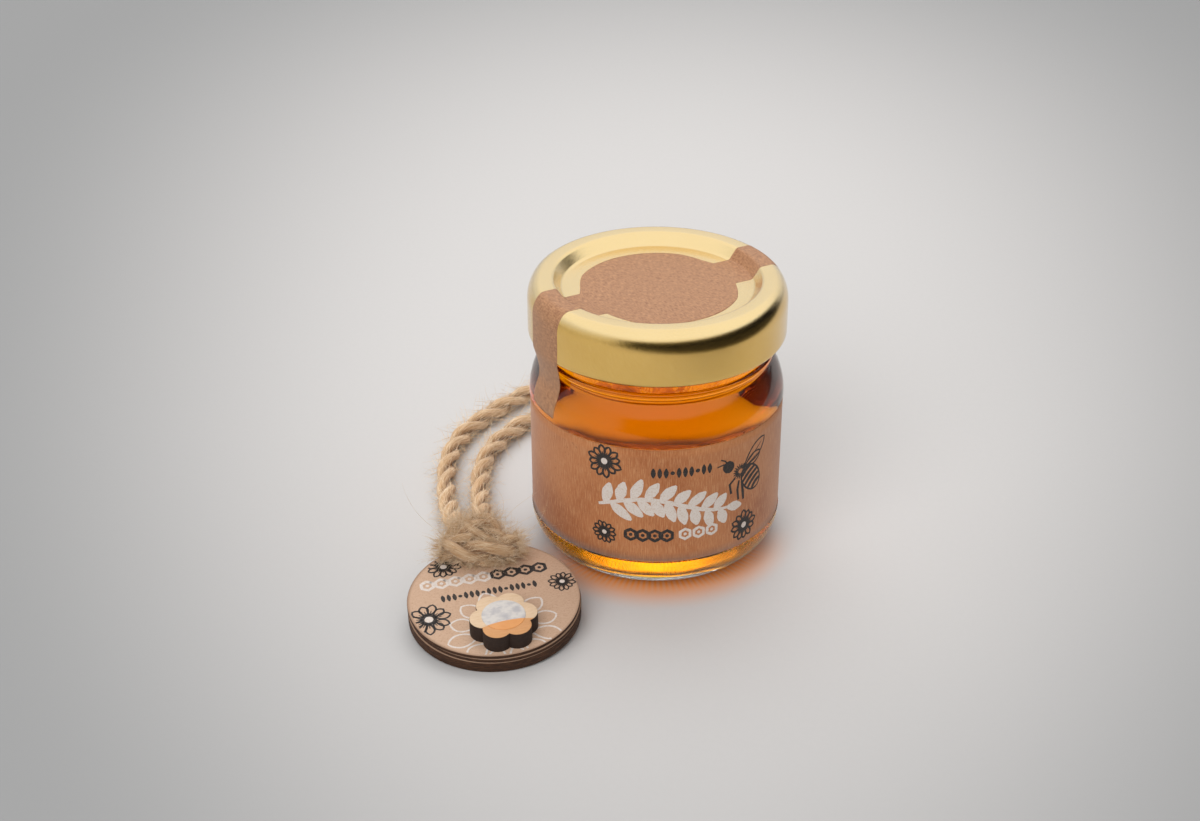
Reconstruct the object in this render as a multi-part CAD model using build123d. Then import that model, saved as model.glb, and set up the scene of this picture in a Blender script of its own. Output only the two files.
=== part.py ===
from build123d import *
import os
from math import asin, cos, degrees, pi, radians, sin, tan

# A small shut jar of honey: clear glass, a gold twist-off cap, a kraft paper label round
# the body, a paper seal over the cap, and a round wooden hang tag on a loop of jute cord.
# Millimetres, +Z up. The origin is the centre of the jar's foot, on the surface that the
# jar and its tag lie on. The front of the label faces -Y.

# Glass jar
BODY_R = 22.95          # widest radius, at the top of the heel and at the shoulder
PANEL_R = 22.75         # the label panel is let in a little between heel and shoulder
PANEL_Z = (7.25, 30.2)
PANEL_STEP = 0.2
HEEL_R = 7.1            # round of the heel
FOOT_INNER_R = 14.6
PUSH_UP_R = 13.6        # hollow under the jar
PUSH_UP_Z = (0.8, 1.65, 1.9)
SHOULDER_ARC_R = 12.0
SHOULDER_TURN = 36.0    # degrees of shoulder arc before it runs into the neck
NECK_R = 20.35
NECK_FILLET_R = 1.6
BEAD_R = 20.95          # rounded bead round the neck, under the cap
BEAD_Z = (38.5, 39.2, 39.9)
RIM_ROUND = 0.55
THREAD_R = 21.3
THREAD_Z = (44.2, 44.6, 45.1, 45.6)
THREAD_ARC = 62.0
THREADS = 4

# Inside of the glass
INNER_R = 20.8
MOUTH_R = 18.4
MOUTH_LOW = 38.0        # the mouth's straight bore ends here and the shoulder opens out
FLOOR_Z = (4.3, 3.0)    # at the middle and where the inner heel starts
INNER_HEEL_R = 5.4
INNER_SHOULDER_Z = 30.5
HONEY_TOP = 45.5

# Cap
CAP_R = 23.0
CAP_BOTTOM = 42.3
CAP_TOP = 52.35
CAP_SHEET = 0.35
CAP_PANEL_Z = 50.27     # sunk panel in the middle of the top
CAP_PANEL_R = 16.6
CAP_ROUND = 0.8         # rounds at the foot and at the top of the sunk panel's wall
CAP_WALL_SLOPE = 55.0   # degrees from level
CAP_CORNER = (2.4, 4.0)     # the outer corner is an ellipse, wide and high
CURL_R = 0.6            # rolled edge at the bottom of the skirt
LUG_R = 21.0
LUG_Z = (42.35, 42.9, 43.7, 43.9)
LUG_ARC = 16.0

# Paper
PAPER = 0.12
LABEL_Z = (7.35, 30.15)
LABEL_GAP = 90.0        # degrees of bare glass between the label's ends, at the back
SEAL_DISC_R = 14.3
SEAL_DISC_AT = (0.15, -0.5)
SEAL_AXIS = 29.0        # degrees from +X of the strip that crosses the cap
SEAL_EDGES = {60: (-5.5, 3.4), 43: (-5.3, 3.6), 36: (-3.8, 4.4), 20: (-3.6, 4.5)}
SEAL_TAIL_Z = 35.2      # where the tail meets the glass below the cap
SEAL_DIP = (22.25, 39.9)    # radius and height of the tail's waist

# Hang tag, lying on the surface with its back edge on the cord
TAG_R = 15.1
TAG_AT = (-27.7, -30.9)
TAG_TILT = 5.7
TAG_TURN = 16.0
TAG_LAYERS = {"tag_base": (2.1, 15.1, 0, 0), "tag_middle": (0.75, 15.0, 0.12, -0.08),
              "tag_face": (0.75, 15.05, -0.08, 0.08)}     # thickness, radius, shift x and y
TAG_HOLE_R = 2.3
TAG_HOLE_Y = 11.4
FLOWER_Y = -8.5
FLOWER_PETALS = 6
FLOWER_PETAL_AT = 3.4
FLOWER_PETAL_R = 2.5
FLOWER_H = 3.2
STICKER_R = 3.75
STICKER_H = 0.1

# Cord
CORD_R = 1.85
CORD_REST = 1.9         # height of the cord's middle where it lies on the surface
CORD_ROUTE = [
    (-35.7, -11.2, 6.4), (-37.9, -3.9, 3.4), (-39.9, 5.6, CORD_REST), (-41.3, 17.2, CORD_REST),
    (-40.0, 29.0, CORD_REST), (-34.2, 38.9, CORD_REST), (-26.4, 48.6, CORD_REST),
    (-17.0, 57.2, CORD_REST), (-6.0, 62.2, CORD_REST), (6.5, 62.6, CORD_REST),
    (17.0, 58.2, CORD_REST), (20.6, 50.4, CORD_REST), (16.0, 44.2, CORD_REST),
    (7.0, 42.6, CORD_REST), (-3.5, 42.6, CORD_REST), (-14.4, 42.4, CORD_REST),
    (-24.4, 38.2, CORD_REST), (-31.3, 29.4, CORD_REST), (-34.4, 18.7, CORD_REST),
    (-33.7, 7.0, CORD_REST), (-32.2, -3.2, 3.6), (-31.1, -11.2, 6.6)]

# Knot
KNOT_BAR = ((-37.4, -21.4, 8.3), (-24.4, -20.2, 8.7))    # the cord's two cut ends
KNOT_BAR_R = 2.3
KNOT_LUMPS = {(-32.0, -16.4, 7.8): (6.2, 4.4), (-31.0, -21.9, 7.7): (5.0, 2.7)}  # half sizes
UNDER_R = 1.2           # the cord is pressed flat where the tag lies on it
UNDER_BACK = 8.6        # how far behind the hole it comes out and turns up
STEM_R = 1.9


def on_circle(centre, radius, angle):
    return (centre[0] + radius * cos(radians(angle)), centre[1] + radius * sin(radians(angle)))


def arc(centre, radius, start, end):
    """Arc from one angle to another, in degrees about its centre."""
    middle = (start + end) / 2
    return ThreePointArc(*(on_circle(centre, radius, a) for a in (start, middle, end)))


def chain(*parts):
    """Edges of a closed outline in (radius, height): edges as they are, and lines between."""
    edges, here, first = [], None, None
    for part in parts:
        point = isinstance(part, tuple)
        start = part if point else tuple(part @ 0)[:2]
        if here is not None and (Vector(*here) - Vector(*start)).length > 1e-6:
            edges.append(Line(here, start))
        if not point:
            edges.append(part)
        here = part if point else tuple(part @ 1)[:2]
        first = first or start
    edges.append(Line(here, first))
    return edges


def turned(outline, angle=360.0, middle=0.0):
    """Turn an outline about Z through an angle centred on a bearing from +X."""
    solid = revolve(Plane.XZ * make_face(outline), Axis.Z, angle)
    return Rot(0, 0, middle - angle / 2) * solid


def disc(radius, height):
    return Cylinder(radius, height, align=(Align.CENTER, Align.CENTER, Align.MIN))


def shoulder_arc(extra, start, end):
    centre = (BODY_R - SHOULDER_ARC_R, PANEL_Z[1] + PANEL_STEP)
    return arc(centre, SHOULDER_ARC_R + extra, start, end)


def cavity(top):
    """Outline of the space inside the glass, from the middle of its floor up to a height."""
    heel_in = INNER_R - INNER_HEEL_R
    heel = (heel_in, FLOOR_Z[1] + INNER_HEEL_R)
    dome = ThreePointArc((0, FLOOR_Z[0]), (heel_in * 0.55, FLOOR_Z[0] - 0.4), (heel_in, FLOOR_Z[1]))
    shoulder = ThreePointArc((INNER_R, INNER_SHOULDER_Z), (20.25, 33.9), (18.75, 36.7))
    return [dome, arc(heel, INNER_HEEL_R, -90, 0), shoulder, (MOUTH_R, MOUTH_LOW), (MOUTH_R, top)]


def jar_glass():
    heel = (BODY_R - HEEL_R, HEEL_R)
    rim_z = CAP_TOP - CAP_SHEET
    under = ThreePointArc((0, PUSH_UP_Z[2]), (PUSH_UP_R / 2, PUSH_UP_Z[1]), (PUSH_UP_R, PUSH_UP_Z[0]))
    shoulder = shoulder_arc(0, 0, SHOULDER_TURN)
    x, z = tuple(shoulder @ 1)[:2]
    groove = on_circle((x, z), NECK_FILLET_R, SHOULDER_TURN)
    bead = ThreePointArc((NECK_R, BEAD_Z[0]), (BEAD_R, BEAD_Z[1]), (NECK_R, BEAD_Z[2]))
    outside = [under, (FOOT_INNER_R, 0), arc(heel, HEEL_R, -90, 0),
               (PANEL_R, PANEL_Z[0]), (PANEL_R, PANEL_Z[1]), shoulder,
               arc(groove, NECK_FILLET_R, 180 + SHOULDER_TURN, 180), bead,
               arc((NECK_R - RIM_ROUND, rim_z - RIM_ROUND), RIM_ROUND, 0, 90),
               arc((MOUTH_R + RIM_ROUND, rim_z - RIM_ROUND), RIM_ROUND, 90, 180)]
    inside = [edge.reversed() for edge in cavity(HONEY_TOP)[2::-1]]
    jar = turned(chain(*outside, (MOUTH_R, MOUTH_LOW), *inside))
    low, rise, crest, high = THREAD_Z
    rib = chain((NECK_R - 0.4, low), (THREAD_R, rise), (THREAD_R, crest), (NECK_R - 0.4, high))
    for k in range(THREADS):
        jar += turned(rib, THREAD_ARC, k * 360 / THREADS)
    return jar


def honey():
    return turned(chain(*cavity(HONEY_TOP), (0, HONEY_TOP)))


def cap_skin(out):
    """The cap's outer line from the middle of its top to the skirt, moved out by a distance."""
    lean = 90 - CAP_WALL_SLOPE
    foot = (CAP_PANEL_R, CAP_PANEL_Z + CAP_ROUND)
    wall_h = (CAP_TOP - CAP_PANEL_Z - 2 * CAP_ROUND) + 2 * CAP_ROUND * sin(radians(lean))
    crown_x = foot[0] + 2 * CAP_ROUND * cos(radians(lean)) + wall_h * tan(radians(lean))
    crown = (crown_x, CAP_TOP - CAP_ROUND)
    wide, high = CAP_CORNER
    corner = EllipticalCenterArc((CAP_R - wide, CAP_TOP - high), wide + out, high + out,
                                 start_angle=90, arc_size=-90)
    return [arc(foot, CAP_ROUND - out, -90, -lean), arc(crown, CAP_ROUND + out, 180 - lean, 90),
            corner]


def lid():
    curl = (CAP_R - CURL_R, CAP_BOTTOM + CURL_R)
    under = [edge.reversed() for edge in reversed(cap_skin(-CAP_SHEET))]
    skirt_inside = (CAP_R - CAP_SHEET, CAP_BOTTOM + 2 * CURL_R)
    cap = turned(chain((0, CAP_PANEL_Z), *cap_skin(0), arc(curl, CURL_R, 0, -180),
                       arc(curl, CURL_R, -180, -270), skirt_inside, *under,
                       (0, CAP_PANEL_Z - CAP_SHEET)))
    low, rise, crest, high = LUG_Z
    lug = chain((CAP_R - CURL_R, low), (LUG_R, rise), (LUG_R, crest), (CAP_R - CAP_SHEET / 2, high))
    for k in range(THREADS):
        cap += turned(lug, LUG_ARC, k * 360 / THREADS)
    return cap


def body_label():
    low, high = LABEL_Z
    paper = chain((PANEL_R, low), (PANEL_R + PAPER, low), (PANEL_R + PAPER, high), (PANEL_R, high))
    return turned(paper, 360 - LABEL_GAP, -90)


def seal_line(out):
    """The tail's line from the cap's top, down the skirt and in to the shoulder of the glass."""
    meet = degrees(asin((SEAL_TAIL_Z - PANEL_Z[1] - PANEL_STEP) / SHOULDER_ARC_R))
    on_glass = shoulder_arc(out, meet, 0)
    skirt_end = (CAP_R + out, CAP_BOTTOM + CURL_R)
    dip = (SEAL_DIP[0] + out, SEAL_DIP[1])
    slope = (sin(radians(meet)), -cos(radians(meet)))
    bridge = Spline(skirt_end, dip, tuple(on_glass @ 0)[:2], tangents=[(0, -1), slope])
    return [*cap_skin(out), bridge, on_glass]


def lid_seal():
    start = 9.0
    outer = [edge.reversed() for edge in reversed(seal_line(PAPER))]
    section = chain((start, CAP_PANEL_Z), *seal_line(0), *outer, (start, CAP_PANEL_Z + PAPER))
    sides = [[(edges[side], z) for z, edges in SEAL_EDGES.items()] for side in (0, 1)]
    cut = Polyline(*sides[0], *reversed(sides[1]), close=True)
    strip = Rot(0, 0, SEAL_AXIS) * extrude(Plane.YZ * make_face(cut.edges()), amount=40, both=True)
    seal = Pos(*SEAL_DISC_AT, CAP_PANEL_Z) * disc(SEAL_DISC_R, PAPER)
    for side in (SEAL_AXIS, SEAL_AXIS + 180):
        seal += turned(section, 80, side) & strip
    return seal


def tag_place():
    """Where the tag's underside lies: on its front edge, with its back edge raised."""
    raised = TAG_R * sin(radians(TAG_TILT))
    return Pos(*TAG_AT, raised) * Rot(TAG_TILT, 0, 0) * Rot(0, 0, TAG_TURN)


def tag_pieces():
    """The tag's stacked discs, then the wooden flower and the round sticker on it."""
    pieces, level = {}, 0.0
    hole = Pos(0, TAG_HOLE_Y, 0) * Cylinder(TAG_HOLE_R, 20)
    for name, (thickness, radius, dx, dy) in TAG_LAYERS.items():
        pieces[name] = tag_place() * (Pos(dx, dy, level) * disc(radius, thickness) - hole)
        level += thickness
    outline = Circle(FLOWER_PETAL_AT)
    for k in range(FLOWER_PETALS):
        x, y = on_circle((0, 0), FLOWER_PETAL_AT, k * 360 / FLOWER_PETALS)
        outline += Pos(x, y) * Circle(FLOWER_PETAL_R)
    flower = extrude(outline, amount=FLOWER_H)
    pieces["tag_flower"] = tag_place() * Pos(0, FLOWER_Y, level) * flower
    sticker = disc(STICKER_R, STICKER_H)
    pieces["tag_sticker"] = tag_place() * Pos(0, FLOWER_Y, level + FLOWER_H) * sticker
    return pieces


def corner_radii(route):
    """Radius of each corner's arc: 0.45 of its shorter run over the tangent of half the turn."""
    points = [Vector(*p) for p in route]
    radii = []
    for before, here, after in zip(points, points[1:], points[2:]):
        turn = (here - before).get_angle(after - here)
        short = min((here - before).length, (after - here).length)
        radii.append(0.45 * short / tan(radians(turn) / 2))
    return radii


def cord_loop():
    radii = corner_radii(CORD_ROUTE)
    path = FilletPolyline(*CORD_ROUTE, radius=radii)
    tube = sweep(Plane(path @ 0, z_dir=path % 0) * Circle(CORD_R), path=path)
    print("cord corner radii", [round(r, 1) for r in radii])
    print("cord length", round(path.length, 1), "tube volume", round(tube.volume, 1),
          "section times length", round(pi * CORD_R**2 * path.length, 1))
    return tube


def rod(start, end, radius):
    """Round rod between two points."""
    along = Vector(*end) - Vector(*start)
    return extrude(Plane(start, z_dir=along) * Circle(radius), amount=along.length)


def lump(half_length, half_width):
    """Round-ended lump along X."""
    body = Rot(0, 90, 0) * Cylinder(half_width, 2 * half_length)
    return fillet(body.edges().filter_by(GeomType.CIRCLE), 0.8 * half_width)


def cord_knot(tag):
    """Knot on the tag's back edge, with a bight of cord under the tag and up through its hole."""
    knot = rod(*KNOT_BAR, KNOT_BAR_R)
    for middle, size in KNOT_LUMPS.items():
        knot += Pos(*middle) * lump(*size)
    for end, after in ((CORD_ROUTE[0], CORD_ROUTE[1]), (CORD_ROUTE[-1], CORD_ROUTE[-2])):
        back = Vector(*end) + (Vector(*end) - Vector(*after)).normalized() * 4
        knot += rod(tuple(back), end, CORD_R)
    hole = tag_place() * Pos(0, TAG_HOLE_Y, 0)
    knot += hole * Pos(0, 0, -0.5) * disc(STEM_R, 6.5)
    x, y = tuple(hole.position)[:2]
    low = UNDER_R + 0.1
    knot += rod((x, y - 1.5, low), (x, y + UNDER_BACK, low), UNDER_R)
    knot += rod((x, y + UNDER_BACK - 0.9, 0.2), (x, y + UNDER_BACK - 1.8, 8.0), UNDER_R - 0.1)
    for piece in tag.values():
        knot -= piece
    return knot


def main():
    os.makedirs("parts", exist_ok=True)
    tag = tag_pieces()
    parts = {"jar_glass": jar_glass(), "honey": honey(), "lid": lid(), "body_label": body_label(),
             "lid_seal": lid_seal(), **tag, "cord_loop": cord_loop(), "cord_knot": cord_knot(tag)}
    for name, shape in parts.items():
        export_step(shape, f"parts/{name}.step")
        box = shape.bounding_box()
        print(name, len(shape.solids()), "solid", round(shape.volume, 1), "mm3",
              [round(v, 2) for v in (*box.min, *box.max)])


main()
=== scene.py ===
import random
from itertools import accumulate
from math import asin, atan2, cos, hypot, pi, radians, sin, sqrt, tan, tau

import bmesh
import bpy
from mathutils import Matrix, Vector, geometry, noise


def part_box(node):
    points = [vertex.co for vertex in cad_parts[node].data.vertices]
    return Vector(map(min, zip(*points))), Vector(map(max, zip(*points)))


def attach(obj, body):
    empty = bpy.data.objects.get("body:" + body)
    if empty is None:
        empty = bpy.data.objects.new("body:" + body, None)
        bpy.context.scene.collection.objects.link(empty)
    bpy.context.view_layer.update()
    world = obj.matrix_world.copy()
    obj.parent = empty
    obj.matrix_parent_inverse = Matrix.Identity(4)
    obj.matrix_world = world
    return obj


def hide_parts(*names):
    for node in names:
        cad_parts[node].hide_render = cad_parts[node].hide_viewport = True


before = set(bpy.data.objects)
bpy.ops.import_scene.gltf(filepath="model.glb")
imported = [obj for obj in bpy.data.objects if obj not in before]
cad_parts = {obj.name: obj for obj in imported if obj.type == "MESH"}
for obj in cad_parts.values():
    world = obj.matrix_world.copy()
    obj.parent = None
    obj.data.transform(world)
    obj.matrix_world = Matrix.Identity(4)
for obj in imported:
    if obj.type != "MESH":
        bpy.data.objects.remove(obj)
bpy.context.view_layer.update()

# A small shut jar of honey in kraft paper, with a round wooden hang tag on a loop of jute.
# The frame and every object are in metres, +Z up, with the label's front towards -Y.
# Shapes are drawn in millimetres and turned into metres as each mesh is made.
MM = 0.001
draw = random.Random(43)


# ---------------------------------------------------------------- camera and cord

CAMERA_AT = (0.0, -0.301593, 0.196410)
CAMERA_RIGHT = (0.99948359, 0.03194733, -0.00345212)
CAMERA_UP = (-0.01278424, 0.49390626, 0.86942117)
CAMERA_LENS = 57.0

REST = 0.0019            # height of the cord's middle where it lies on the floor
CORD_ROUTE = [
    (-0.0357, -0.0112, 0.0064), (-0.0379, -0.0039, 0.0034), (-0.0399, 0.0056, REST),
    (-0.0413, 0.0172, REST), (-0.0400, 0.0290, REST), (-0.0342, 0.0389, REST),
    (-0.0264, 0.0486, REST), (-0.0170, 0.0572, REST), (-0.0060, 0.0622, REST),
    (0.0065, 0.0626, REST), (0.0170, 0.0582, REST), (0.0206, 0.0504, REST),
    (0.0160, 0.0442, REST), (0.0070, 0.0426, REST), (-0.0035, 0.0426, REST),
    (-0.0144, 0.0424, REST), (-0.0244, 0.0382, REST), (-0.0313, 0.0294, REST),
    (-0.0344, 0.0187, REST), (-0.0337, 0.0070, REST), (-0.0322, -0.0032, 0.0036),
    (-0.0311, -0.0112, 0.0066)]

# Two plies make the cord, laid about each other
PLY_REACH = 0.86         # from the cord's middle to a ply's middle
PLY_R = 0.98
CORD_PITCH = 13.0        # length of one whole turn of the plies
PLY_FIBRES = 11

# The knot's strands, which cross over each other on the tag's back edge
KNOT_STRANDS = {
    "outer run in": [(-35.6, -10.4, 6.2), (-35.6, -13.4, 7.5), (-34.6, -16.4, 9.0), (-31.6, -18.6, 9.9),
                     (-28.4, -19.0, 9.3), (-26.6, -18.4, 7.4)],
    "inner run in": [(-31.2, -10.4, 6.4), (-30.6, -13.2, 7.8), (-30.8, -16.2, 9.7), (-33.2, -18.9, 10.2),
                     (-35.9, -19.9, 8.8), (-36.6, -19.2, 6.8)],
    "turn behind": [(-36.6, -17.4, 6.0), (-36.0, -15.3, 8.0), (-33.0, -14.2, 9.6), (-29.6, -14.8, 9.4),
                    (-27.2, -16.8, 7.6), (-27.0, -18.6, 6.0)],
    "cut ends": [(-37.9, -21.0, 7.9), (-35.6, -21.8, 8.4), (-32.6, -22.5, 8.5), (-29.6, -22.4, 8.6),
                 (-26.8, -21.4, 8.9), (-24.0, -19.9, 8.8)],
    "cut ends, lower": [(-34.6, -20.6, 6.9), (-32.0, -22.0, 6.6), (-29.0, -22.2, 6.8), (-26.0, -20.9, 7.2)],
    "through the hole": [(-30.6, -20.9, 8.0), (-30.8, -20.2, 5.2), (-30.9, -20.1, 2.2)],
    "under the tag": [(-30.9, -19.9, 1.3), (-31.2, -16.4, 1.4), (-31.6, -12.8, 2.2), (-32.0, -11.6, 4.6),
                      (-32.2, -12.6, 7.0)]}
KNOT_THICK = {"cut ends": 1.15, "cut ends, lower": 0.95, "under the tag": 0.6}    # against the cord's
FRAYED = ("cut ends", "cut ends, lower")
UNDERNEATH = ("through the hole", "under the tag")


# ---------------------------------------------------------------- finishes

def swatch(red, green, blue):
    """The colour of a paint swatch given as 0 to 255, as shaders take it."""
    return tuple(((v / 255 + 0.055) / 1.055) ** 2.4 if v > 10 else v / 255 / 12.92
                 for v in (red, green, blue))


class Wire:
    """A socket whose sums and products become Math nodes."""

    def __init__(self, paint, socket):
        self.paint, self.socket = paint, socket

    def __add__(self, other):
        return self.paint.math("ADD", self, other)

    def __sub__(self, other):
        return self.paint.math("SUBTRACT", self, other)

    def __rsub__(self, other):
        return self.paint.math("SUBTRACT", other, self)

    def __mul__(self, other):
        return self.paint.math("MULTIPLY", self, other)

    def __truediv__(self, other):
        return self.paint.math("DIVIDE", self, other)

    __radd__, __rmul__ = __add__, __mul__


class Paint:
    """A node tree that a finish is mixed in."""

    def __init__(self, tree):
        tree.nodes.clear()
        self.tree = tree

    def join(self, value, socket):
        if isinstance(value, Wire):
            self.tree.links.new(value.socket, socket)
        elif socket.type == "RGBA":
            socket.default_value = (*value, 1.0)
        else:
            socket.default_value = value

    def node(self, kind, settings=None, sockets=None, out=0):
        """Any node: its type, its settings, which are set first, and its sockets' values or wires."""
        made = self.tree.nodes.new("ShaderNode" + kind)
        for name, value in (settings or {}).items():
            setattr(made, name, value)
        for name, value in (sockets or {}).items():
            self.join(value, made.inputs[name])
        return Wire(self, made.outputs[out]) if made.outputs else made

    def math(self, operation, *values):
        return self.node("Math", {"operation": operation}, dict(enumerate(values)))

    def vector(self, operation, *values):
        return self.node("VectorMath", {"operation": operation}, dict(enumerate(values)))

    def dot(self, a, b):
        return self.node("VectorMath", {"operation": "DOT_PRODUCT"}, {0: a, 1: b}, out="Value")

    def mix(self, factor, first, second):
        """Colour that goes from the first to the second as the factor goes from 0 to 1."""
        return self.node("Mix", {"data_type": "RGBA"}, {0: factor, 6: first, 7: second}, out=2)

    def rise(self, value, low, high):
        """Smooth step from 0 at low to 1 at high."""
        sockets = {"Value": value, "From Min": low, "From Max": high}
        return self.node("MapRange", {"interpolation_type": "SMOOTHSTEP"}, sockets)

    def noise(self, place, scale, detail=3.0, rough=0.55):
        """Noise with a scale for each axis, in lumps per unit."""
        sockets = {"Vector": self.vector("MULTIPLY", place, scale), "Scale": 1.0, "Detail": detail,
                   "Roughness": rough}
        return self.node("TexNoise", {}, sockets)

    def spot(self):
        """Where a point is on its own piece, in millimetres."""
        here = self.node("TexCoord", out="Object")
        return self.vector("MULTIPLY", here, (1 / MM, 1 / MM, 1 / MM))

    def lay(self):
        """Along and across the material's own lay, in millimetres."""
        return self.node("UVMap", {"uv_map": "lay"})

    def axes(self, vector, names="XYZ"):
        """A vector's numbers along the named axes."""
        return [self.node("SeparateXYZ", {}, {0: vector}, out=name) for name in names]

    def far(self, x, y):
        """How far out a point is from the middle."""
        return self.math("SQRT", x * x + y * y)

    def facing_up(self, low, high):
        """1 where a face looks up and 0 where it looks aside, by its piece's own Z."""
        [lift] = self.axes(self.node("TexCoord", out="Normal"), "Z")
        return self.rise(lift, low, high)

    def bump(self, height, depth, under=None):
        """Relief of the given depth in millimetres, on top of another relief."""
        sockets = {"Height": height, "Distance": depth * MM}
        if under:
            sockets["Normal"] = under
        return self.node("Bump", {}, sockets)


def finish(name, recipe, soaks_up=None, **constants):
    """A finish: the recipe gives the sockets that vary, and the rest is the same all over. A clear
    stuff may soak up light on its way through, by a colour and a density."""
    material = bpy.data.materials.new(name)
    material.use_nodes = True
    paint = Paint(material.node_tree)
    sockets = {key.replace("_", " "): value for key, value in constants.items()}
    ends = {"Surface": paint.node("BsdfPrincipled", {}, {**sockets, **recipe(paint)})}
    if soaks_up:
        ends["Volume"] = paint.node("VolumeAbsorption", {}, {"Color": soaks_up[0], "Density": soaks_up[1]})
    paint.node("OutputMaterial", {}, ends)
    return material


GLASS_FOOT_TICKS = 120


def foot_ticks(paint, x, y):
    """The fine knurl round the jar's foot, from -1 to 1."""
    return paint.math("SINE", paint.math("ARCTAN2", y, x) * GLASS_FOOT_TICKS)


def clear_glass(paint):
    here = paint.spot()
    x, y, z = paint.axes(here)
    foot = 1 - paint.rise(z, 0.5, 1.6)
    sway = paint.noise(here, (0.12, 0.12, 0.12), 1.0)
    smudge = paint.rise(paint.noise(here, (0.25, 0.25, 0.12), 4.0), 0.55, 0.8)
    relief = paint.bump(foot_ticks(paint, x, y) * foot, 0.12)
    return {"Base Color": paint.mix(sway, (0.985, 0.995, 0.99), (1.0, 1.0, 1.0)),
            "Roughness": smudge * 0.03, "Normal": paint.bump(sway, 0.12, relief)}


def amber_honey(paint):
    here = paint.spot()
    sway = paint.noise(here, (0.05, 0.05, 0.08), 2.0)
    return {"Base Color": paint.mix(sway, (1.0, 0.985, 0.96), (1.0, 1.0, 1.0)),
            "Roughness": sway * 0.02, "Normal": paint.bump(sway, 0.05)}


def brushed_gold(paint):
    here = paint.spot()
    x, y, z = paint.axes(here)
    skirt = paint.rise(paint.far(x, y), 22.2, 22.8)
    round_rim = paint.math("ARCTAN2", y, x) * 23.0
    slant = paint.node("CombineXYZ", {}, {0: round_rim + z * 0.45, 1: z, 2: 0.0})
    strokes = paint.noise(slant, (7.0, 0.55, 1.0), 4.0, 0.6)
    grain = paint.noise(here, (3.0, 14.0, 3.0), 4.0, 0.6)
    brush = grain + skirt * (strokes - grain)
    cloud = paint.noise(here, (0.09, 0.09, 0.09), 2.0)
    worn = brush * 0.7 + cloud * 0.3
    # The crown's paler, whiter gold is a painted sheen standing in for the lacquer's reflection on the top.
    crown = paint.mix(worn, swatch(228, 198, 136), swatch(240, 216, 164))
    colour = paint.mix(skirt, crown, paint.mix(worn, swatch(202, 158, 66), swatch(246, 210, 128)))
    return {"Base Color": colour, "Roughness": 0.11 + brush * 0.10 + skirt * 0.05,
            "Normal": paint.bump(brush, 0.022)}


def kraft_label(paint):
    lay = paint.lay()
    fibre = paint.noise(lay, (5.5, 0.45, 1.0), 5.0, 0.65)
    fleck = paint.noise(lay, (2.6, 1.6, 1.0), 4.0, 0.7)
    cloud = paint.noise(lay, (0.05, 0.06, 1.0), 2.0)
    tone = paint.mix(paint.rise(cloud, 0.35, 0.68), swatch(186, 120, 74), swatch(162, 94, 52))
    tone = paint.mix(paint.rise(fibre, 0.42, 0.72) * 0.75, tone, swatch(206, 152, 106))
    tone = paint.mix(paint.rise(fleck, 0.56, 0.75) * 0.6, tone, swatch(120, 70, 40))
    return {"Base Color": tone, "Roughness": 0.62 + fibre * 0.25,
            "Normal": paint.bump(fibre * 0.6 + fleck * 0.4, 0.03)}


def glued_side_painted_light(paint):
    """The label's glued side, which the jar's honey shows, with a painted emission that stands in for light
    coming through the paper from outside.
    """
    lay = paint.lay()
    fibre = paint.noise(lay, (5.5, 0.45, 1.0), 4.0, 0.65)
    return {"Base Color": paint.mix(fibre, swatch(224, 168, 122), swatch(208, 148, 102)),
            "Emission Color": paint.mix(fibre, (0.34, 0.155, 0.070), (0.28, 0.120, 0.055)),
            "Roughness": 0.7 + fibre * 0.2}


def linen_seal(paint):
    lay = paint.lay()
    warp = paint.noise(lay, (0.9, 6.5, 1.0), 4.0, 0.6)
    weft = paint.noise(lay, (6.5, 0.9, 1.0), 4.0, 0.6)
    weave = (warp + weft) / 2.0
    speck = paint.noise(lay, (5.0, 5.0, 1.0), 3.0, 0.7)
    cloud = paint.noise(lay, (0.1, 0.1, 1.0), 2.0)
    tone = paint.mix(cloud, swatch(188, 138, 98), swatch(198, 148, 106))
    tone = paint.mix(paint.rise(weave, 0.38, 0.62), swatch(142, 94, 62), tone)
    tone = paint.mix(paint.rise(speck, 0.6, 0.8) * 0.5, tone, swatch(226, 188, 156))
    return {"Base Color": tone, "Roughness": 0.36 + weave * 0.2,
            "Normal": paint.bump(weave * 0.8 + speck * 0.2, 0.05)}


def ink(dark, worn):
    """Printing ink: its full tone, and its tone where it is thin."""
    def recipe(paint):
        here = paint.spot()
        wear = paint.rise(paint.noise(here, (4.0, 4.0, 4.0), 5.0, 0.7), 0.45, 0.72)
        return {"Base Color": paint.mix(wear, dark, worn), "Roughness": 0.5 + wear * 0.3,
                "Normal": paint.bump(wear, 0.003)}
    return recipe


def tag_board(paint):
    here = paint.spot()
    side = 1 - paint.facing_up(0.35, 0.75)
    fibre = paint.noise(here, (1.6, 6.0, 1.6), 5.0, 0.65)
    speck = paint.noise(here, (3.6, 3.6, 3.6), 4.0, 0.75)
    tone = paint.mix(fibre, swatch(180, 144, 116), swatch(212, 182, 158))
    tone = paint.mix(paint.rise(speck, 0.53, 0.72) * 0.75, tone, swatch(150, 108, 80))
    scorch = paint.rise(paint.far(*paint.axes(here, "XY")) + fibre * 0.5, 14.7, 15.5) * 0.6
    tone = paint.mix(scorch, tone, swatch(92, 58, 36))
    strata = paint.noise(here, (0.6, 0.6, 14.0), 4.0, 0.6)
    burnt = paint.mix(paint.rise(strata, 0.4, 0.72), swatch(44, 27, 18), swatch(98, 64, 42))
    return {"Base Color": paint.mix(side, tone, burnt), "Roughness": 0.6 + fibre * 0.3,
            "Normal": paint.bump(fibre * 0.5 + speck * 0.5 + strata * side, 0.05)}


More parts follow.
